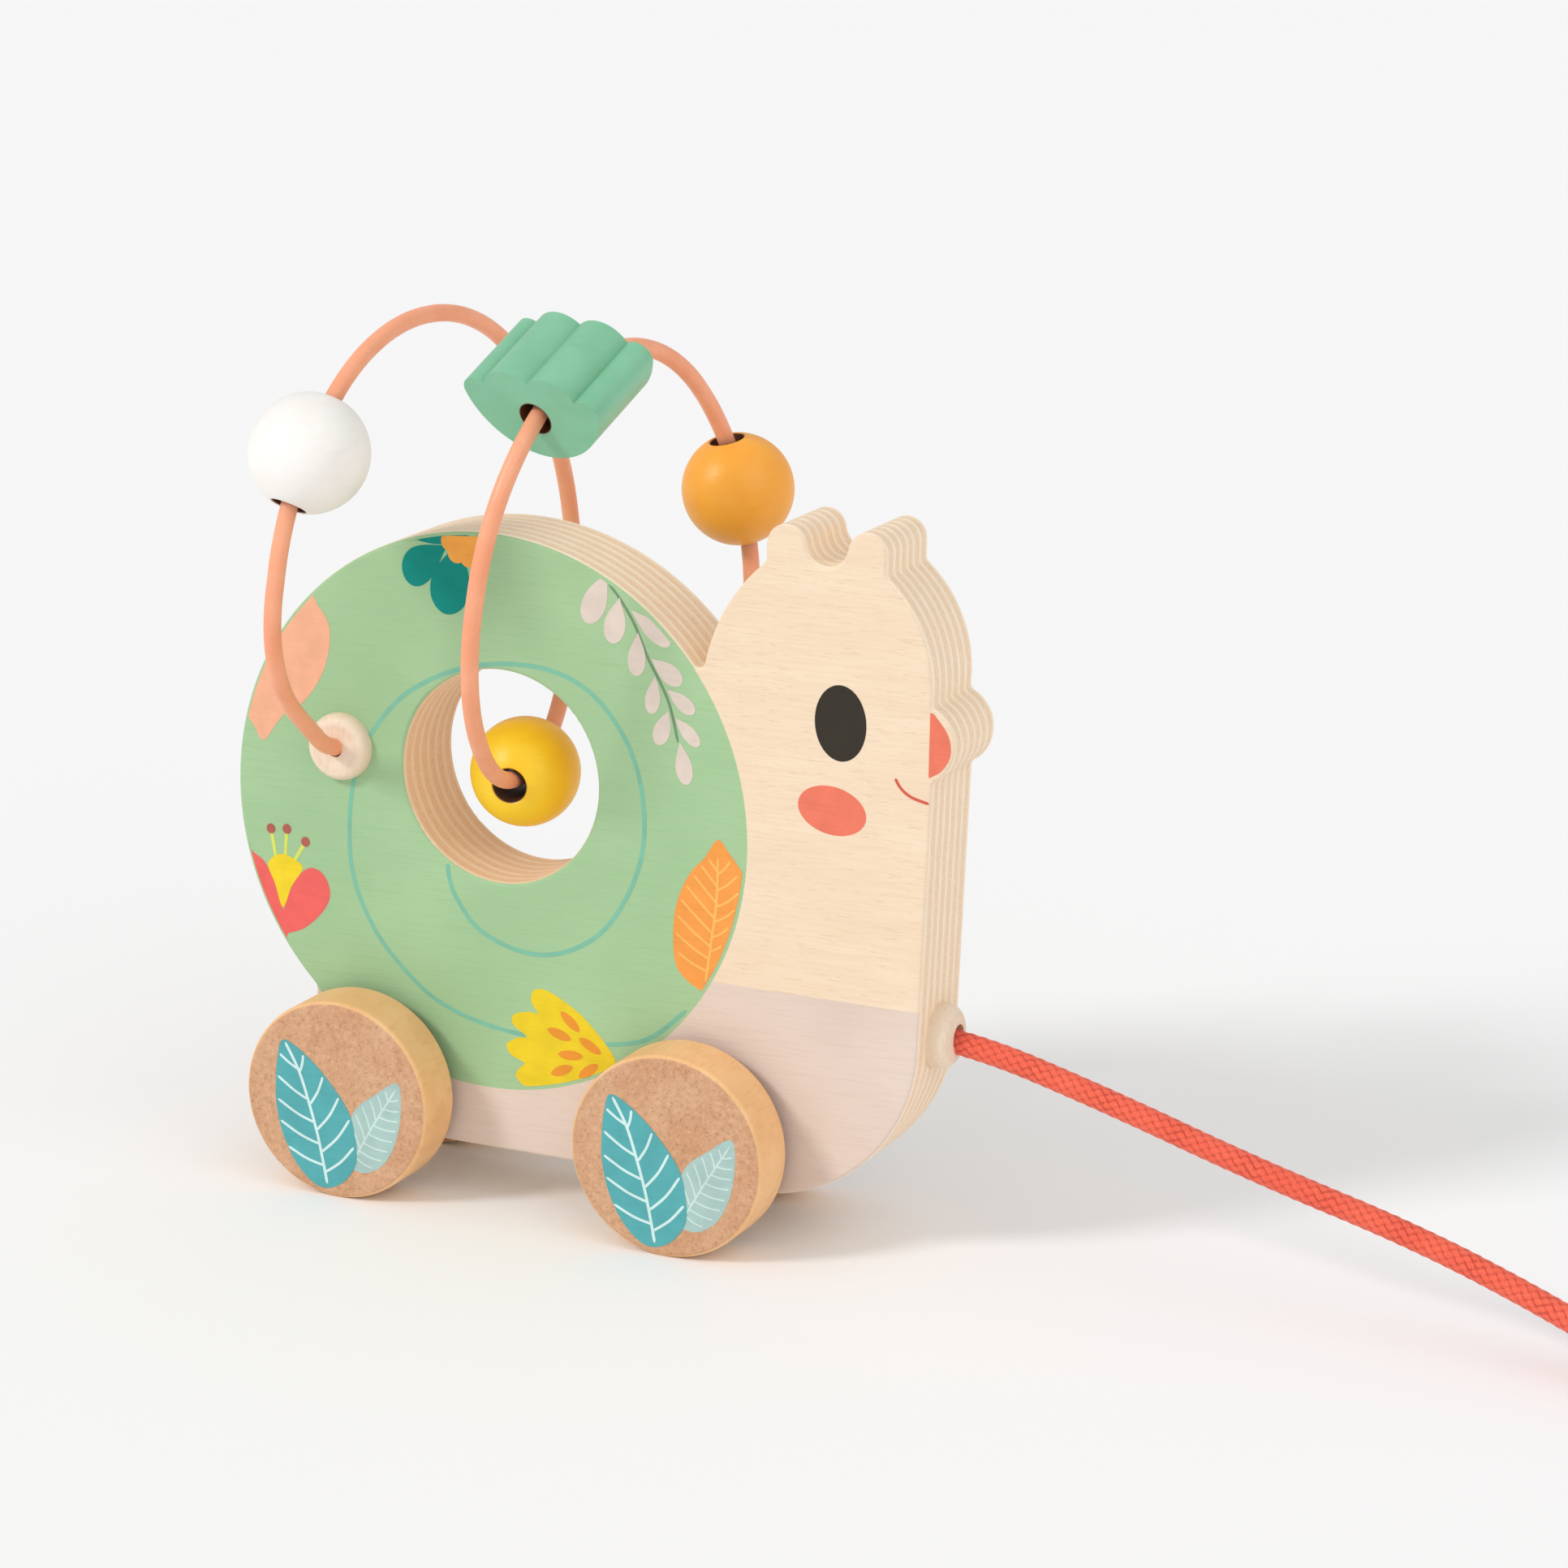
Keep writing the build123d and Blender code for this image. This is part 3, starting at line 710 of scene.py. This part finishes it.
# Outlines on a wheel, from its centre
SMALL_LEAF = smooth([
    (14.5, 6.0), (9.2, 2.6), (5.2, -0.6), (3.2, -4.6), (2.6, -9.6), (3.6, -13.8),
    (7.6, -14.4), (11.8, -11.4), (14.4, -5.9), (15.4, 0.6),
], closed=True)
SMALL_MIDRIB = [(14.2, 4.6), (8.6, -4.5), (5.4, -10.2), (3.8, -13.2)]
SMALL_VEINS = (
    ((12.6, 1.9), (14.7, 2.4)), ((11.4, 0.0), (14.9, 0.0)), ((10.2, -1.9), (14.7, -2.2)),
    ((9.0, -3.9), (14.2, -4.4)), ((7.8, -5.9), (13.4, -6.8)), ((6.6, -8.0), (12.4, -9.1)),
    ((5.6, -9.9), (10.8, -11.3)), ((4.8, -11.5), (8.6, -13.2)),
    ((12.4, 1.6), (11.8, 3.8)), ((11.0, -0.6), (10.0, 2.7)), ((9.6, -2.9), (8.2, 1.4)),
    ((8.2, -5.2), (6.4, -0.2)), ((7.0, -7.4), (4.9, -2.2)), ((5.9, -9.4), (3.6, -4.6)),
    ((4.8, -11.4), (3.0, -7.4)),
)
LARGE_LEAF = smooth([
    (-12.0, 11.4), (-13.4, 7.8), (-13.9, 2.6), (-13.8, -2.8), (-12.4, -8.8), (-9.4, -14.6),
    (-5.4, -18.4), (-2.0, -19.2), (1.8, -17.4), (4.6, -13.6), (5.0, -9.6), (3.4, -2.4),
    (-1.4, 4.0), (-7.0, 9.0),
], closed=True)
LARGE_MIDRIB = [
    (-11.6, 10.9), (-8.4, 5.2), (-6.0, -1.6), (-4.2, -7.6), (-3.0, -12.8), (-1.9, -18.2),
]
LARGE_VEINS = (
    ((-8.7, 5.6), (-12.9, 8.2)), ((-6.5, -0.6), (-13.4, 3.4)), ((-4.9, -5.4), (-13.4, -1.6)),
    ((-3.7, -9.9), (-12.8, -6.2)), ((-2.6, -14.4), (-11.0, -11.6)),
    ((-8.2, 5.0), (-7.4, 8.7)), ((-5.8, -1.6), (-2.8, 4.7)), ((-4.3, -7.0), (0.9, 0.8)),
    ((-3.2, -11.6), (3.4, -3.6)), ((-2.3, -15.8), (4.4, -9.4)),
)

for end in ("front", "rear"):
    for side, hand in SIDES:
        low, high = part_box(end + "_" + hand + "_wheel")
        centre = (low + high) / 2 / MM
        sheet = Print(end + "_" + hand + "_wheel_print", end + "_wheels", "wheel_wood",
                      (centre.x, centre.z), WHEEL_FACE, side, forward=-side)
        veined_leaf(sheet, SMALL_LEAF_GREY, SMALL_VEIN_GREY, SMALL_LEAF, SMALL_MIDRIB,
                    SMALL_VEINS, 0.36, layer=0)
        veined_leaf(sheet, LARGE_LEAF_BLUE, LARGE_VEIN_BLUE, LARGE_LEAF, LARGE_MIDRIB,
                    LARGE_VEINS, 0.55, layer=2)
        sheet.finish()

# --- Pull cord: the CAD route's points, the coil's turns and the tail, as one spline ------
CORD_RADIUS = 2.5
COIL_CENTRE = (253.35, 15.5)
COIL_RADIUS = 27.5
COIL_POINTS = 16
COIL_TURNS = 2
COIL_PITCH = 5.1
FLOOR_HEIGHT = 2.6
LEVEL_SHARE = 0.8

cord_line = [
    (63.35, 0, 46.5), (79.35, 0, 46.3), (109.35, 0.8, 38.2), (141.35, -0.6, 29.2),
    (173.35, 0.9, 20.6), (200.35, -2.5, 12.6), (221.35, -7.5, 5.9), (237.35, -11.0, 2.8),
]
# A turn lies level for its first LEVEL_SHARE and then climbs to the next.
polygon_radius = COIL_RADIUS / math.cos(math.pi / COIL_POINTS)
for step in range(COIL_POINTS * COIL_TURNS + 1):
    turns, share = divmod(step / COIL_POINTS, 1)
    climb = max(0.0, (share - LEVEL_SHARE) / (1 - LEVEL_SHARE))
    turn = 2 * math.pi * share - math.pi / 2
    cord_line.append((
        COIL_CENTRE[0] + polygon_radius * math.cos(turn),
        COIL_CENTRE[1] + polygon_radius * math.sin(turn),
        FLOOR_HEIGHT + COIL_PITCH * (turns + climb),
    ))
cord_line += [
    (267.35, -12.9, 11.9), (283.35, -12.6, 5.3), (293.0, -11.2, 2.7), (299.6, -9.4, 3.2),
]

route_data = bpy.data.curves.new("cord_route", "CURVE")
route_data.dimensions = "3D"
route_data.resolution_u = 40
spline = route_data.splines.new("NURBS")
spline.points.add(len(cord_line) - 1)
for point, corner in zip(spline.points, cord_line):
    point.co = (*place(*corner), 1.0)
spline.order_u = 3
spline.use_endpoint_u = True
route = link(bpy.data.objects.new("cord_route", route_data))
bpy.context.view_layer.update()
traced = bpy.data.meshes.new_from_object(route)
cord_path = [vertex.co.copy() for vertex in traced.vertices]
bpy.data.meshes.remove(traced)
bpy.data.objects.remove(route)


def even_steps(path, step):
    """Points step apart along a polyline, with both of its ends."""
    found = [path[0]]
    spare = 0.0
    for start, end in zip(path, path[1:]):
        run = (end - start).length
        while run - spare >= step and run > 0:
            spare += step
            found.append(start.lerp(end, spare / run))
        spare -= run
    found[-1] = path[-1]
    return found


STRANDS = 8
STRAND_RELIEF = 0.24
RING_STEP = 0.42
LAY_RATE = 0.8


def rope_mesh(name, path, radius, around, closed=False):
    """A braided tube: two families of strands wind against each other, over one and under one."""
    points = even_steps(path, RING_STEP * MM)
    if closed:
        points.pop()
    count = len(points)
    data = bpy.data.meshes.new(name)
    vertices, faces, heights = [], [], []
    normal = None
    travelled = 0.0
    for index, point in enumerate(points):
        ahead = points[(index + 1) % count] if closed else points[min(index + 1, count - 1)]
        behind = points[index - 1] if closed or index else points[0]
        tangent = (ahead - behind).normalized()
        if normal is None:
            normal = tangent.orthogonal()
        normal = (normal - tangent * normal.dot(tangent)).normalized()
        side = tangent.cross(normal)
        travelled += (point - points[index - 1]).length if index else 0.0
        lay = travelled / (2 * math.pi * radius) * LAY_RATE
        for spoke in range(around):
            share = spoke / around
            first, second = STRANDS * (share + lay), STRANDS * (share - lay)
            over = (math.floor(first) + math.floor(second)) % 2 == 0
            across, along = (first, second) if over else (second, first)
            round_top = math.sin(math.pi * (across % 1)) ** 0.6
            dive = math.sin(math.pi * (along % 1)) ** 0.4
            height = round_top * (0.35 + 0.65 * dive)
            reach = radius - STRAND_RELIEF * MM * (1 - height)
            turn = 2 * math.pi * share
            vertices.append(point + (normal * math.cos(turn) + side * math.sin(turn)) * reach)
            heights.append(height)
    for ring in range(count if closed else count - 1):
        for spoke in range(around):
            after = (spoke + 1) % around
            upper = (ring + 1) % count
            faces.append((ring * around + spoke, ring * around + after,
                          upper * around + after, upper * around + spoke))
    if not closed:
        faces.append(tuple(range(around))[::-1])
        faces.append(tuple((count - 1) * around + spoke for spoke in range(around)))
    data.from_pydata([tuple(vertex) for vertex in vertices], [], faces)
    strand = data.attributes.new("strand", "FLOAT", "POINT")
    strand.data.foreach_set("value", heights)
    data.polygons.foreach_set("use_smooth", [True] * len(data.polygons))
    return data


braid = make_braid()


def rope(name, path, radius, around=48, closed=False):
    data = rope_mesh(name, path, radius, around, closed)
    data.materials.append(braid)
    piece = link(bpy.data.objects.new(name, data))
    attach(piece, "snail")
    return piece


cord = rope("braided_cord", cord_path, CORD_RADIUS * MM)
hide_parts("pull_cord", "cord_coil", "cord_tail")

# The end knot is a trefoil of slightly squeezed cord. KNOT_SIZE scales its plan.
SQUEEZED_RADIUS = 2.3
KNOT_SIZE = 1.35
KNOT_RISE = 1.65
KNOT_HEIGHT = 4.2
KNOT_STEPS = 180
knot_low, knot_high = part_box("end_knot")
knot_centre = (knot_low + knot_high) / 2
knot_path = []
for step in range(KNOT_STEPS + 1):
    turn = 2 * math.pi * step / KNOT_STEPS
    knot_path.append(place(
        knot_centre.x / MM + KNOT_SIZE * (math.sin(turn) + 2 * math.sin(2 * turn)),
        knot_centre.y / MM + KNOT_SIZE * (math.cos(turn) - 2 * math.cos(2 * turn)),
        KNOT_HEIGHT - KNOT_RISE * math.sin(3 * turn),
    ))
knot = rope("tied_end_knot", knot_path, SQUEEZED_RADIUS * MM, around=40, closed=True)
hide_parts("end_knot")
stub = rope("cord_end", [
    knot_centre + place(2.0, 0.3, -1.0), knot_centre + place(5.0, 0.9, -1.6),
    knot_centre + place(9.0, 1.9, -2.4), knot_centre + place(12.0, 2.9, -2.75),
], SQUEEZED_RADIUS * MM, around=40)

# --- Paper tie round the coil's two turns, pressed flat where it meets the floor ------------
TIE_WIDTH = 6.0
TIE_THICKNESS = 0.4
TIE_PLAY = 0.05
TIE_STEPS = 64


def make_tie_mesh():
    """A closed band round two stacked turns of the cord, round above and flat on the floor."""
    tie_low, tie_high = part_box("cord_tie")
    middle = (tie_low + tie_high).x / 2 / MM
    inner = CORD_RADIUS + TIE_PLAY
    mesh = bmesh.new()
    ring = []
    for step in range(TIE_STEPS):
        turn = 2 * math.pi * step / TIE_STEPS
        turn_height = FLOOR_HEIGHT + (COIL_PITCH if math.sin(turn) >= 0 else 0.0)
        section = []
        for reach, lowest in ((inner, 0.3), (inner + TIE_THICKNESS, 0.03)):
            for across in (-TIE_WIDTH / 2, TIE_WIDTH / 2):
                section.append(mesh.verts.new(place(
                    middle + across,
                    COIL_CENTRE[1] + COIL_RADIUS + reach * math.cos(turn),
                    max(lowest, turn_height + reach * math.sin(turn)),
                )))
        ring.append(section)
    for index, section in enumerate(ring):
        after = ring[(index + 1) % len(ring)]
        for first, second in ((0, 1), (1, 3), (3, 2), (2, 0)):
            mesh.faces.new((section[first], section[second], after[second], after[first]))
    bmesh.ops.recalc_face_normals(mesh, faces=mesh.faces)
    data = bpy.data.meshes.new("wrapped_tie")
    mesh.to_mesh(data)
    mesh.free()
    return data


tie_data = make_tie_mesh()
tie_data.materials.append(make_tie())
tie = link(bpy.data.objects.new("wrapped_tie", tie_data))
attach(tie, "snail")
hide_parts("cord_tie")


# --- Finishes of the CAD nodes -----------------------------------------------------------
def finish_node(name, material):
    data = frame["nodes"][name].data
    data.materials.clear()
    data.materials.append(material)


def centre_of(name):
    low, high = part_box(name)
    return (low + high) / 2


finish_node("snail_body", make_plywood())
dowel, nylon = make_dowel(), make_nylon()
for end in ("front", "rear"):
    wood = make_wheel(end + "_wheel_fibre", centre_of(end + "_right_wheel"))
    finish_node(end + "_axle", dowel)
    for hand in ("right", "left"):
        finish_node(end + "_" + hand + "_wheel", wood)
        finish_node(end + "_" + hand + "_washer", nylon)
for name, axis in (
    ("near_wire_boss", (0, 1, 0)), ("far_wire_boss", (0, 1, 0)), ("cord_boss", (1, 0, 0)),
):
    finish_node(name, make_turned(name + "_wood", centre_of(name), axis))
finish_node("looping_wire", make_coating())
finish_node("anchor_knot", braid)

BEAD_BORE_RADIUS = 3.5
# The green bead isn't centred on its bore, which lies this far from its joint's axis.
GREEN_BORE_REACH = 38.8
BEAD_COLOURS = {
    "white_bead": (tint(249, 246, 242), tint(238, 233, 226)),
    "yellow_bead": (tint(254, 212, 34), tint(247, 200, 28)),
    "orange_bead": (tint(253, 175, 60), tint(248, 162, 48)),
    "green_bead": (tint(130, 194, 157), tint(116, 180, 143)),
}
for joint in frame["joints"]:
    name = joint["child"]
    if name in BEAD_COLOURS:
        middle = centre_of(name)
        arm = middle - Vector(joint["pos_m"])
        if name == "green_bead":
            middle = Vector(joint["pos_m"]) + arm.normalized() * GREEN_BORE_REACH * MM
        bore_axis = Vector(joint["axis"]).cross(arm).normalized()
        main, shade = BEAD_COLOURS[name]
        finish_node(name, make_paint(
            name + "_paint", middle, bore_axis, main, shade, BEAD_BORE_RADIUS,
        ))

# --- Floor, lights and colour ------------------------------------------------------------
FLOOR_REACH = 12.0
floor_shade = Shade("paper_floor", roughness=0.85, specular=0.1)
paper = floor_shade.noise((0.8, 0.8, 0.8), detail=2)
floor_shade.colour(floor_shade.mix(paper, tint(249, 249, 249), tint(251, 251, 251)))
floor_data = bpy.data.meshes.new("floor")
floor_data.from_pydata(
    [(x * FLOOR_REACH, y * FLOOR_REACH, 0) for x, y in ((-1, -1), (1, -1), (1, 1), (-1, 1))],
    [], [(0, 1, 2, 3)],
)
floor_data.materials.append(floor_shade.material)
floor = link(bpy.data.objects.new("floor", floor_data))

# The studio is brighter to the camera than as light, so that it meets the floor with no horizon.
SKY_LIGHT = 0.66
SKY_SEEN = 0.925
world = bpy.data.worlds.new("studio")
world.use_nodes = True
tree = world.node_tree
sky = tree.nodes["Background"]
sky.inputs["Color"].default_value = (1.0, 1.0, 1.0, 1.0)
ray = tree.nodes.new("ShaderNodeLightPath")
brightness = tree.nodes.new("ShaderNodeMapRange")
brightness.inputs["To Min"].default_value = SKY_LIGHT
brightness.inputs["To Max"].default_value = SKY_SEEN
tree.links.new(ray.outputs["Is Camera Ray"], brightness.inputs["Value"])
tree.links.new(brightness.outputs["Result"], sky.inputs["Strength"])
scene.world = world


def add_sun(name, toward, strength, spread):
    """A sun that shines from the direction toward, over spread degrees."""
    data = bpy.data.lights.new(name, "SUN")
    data.energy = strength
    data.angle = math.radians(spread)
    light = link(bpy.data.objects.new(name, data))
    light.rotation_mode = "QUATERNION"
    light.rotation_quaternion = Vector(toward).to_track_quat("Z", "Y")


add_sun("key_light", (-0.55, -0.70, 0.60), 1.2, 14)
add_sun("fill_light", (0.75, -0.35, 0.60), 0.55, 60)
scene.view_settings.view_transform = "Standard"
scene.view_settings.look = "None"
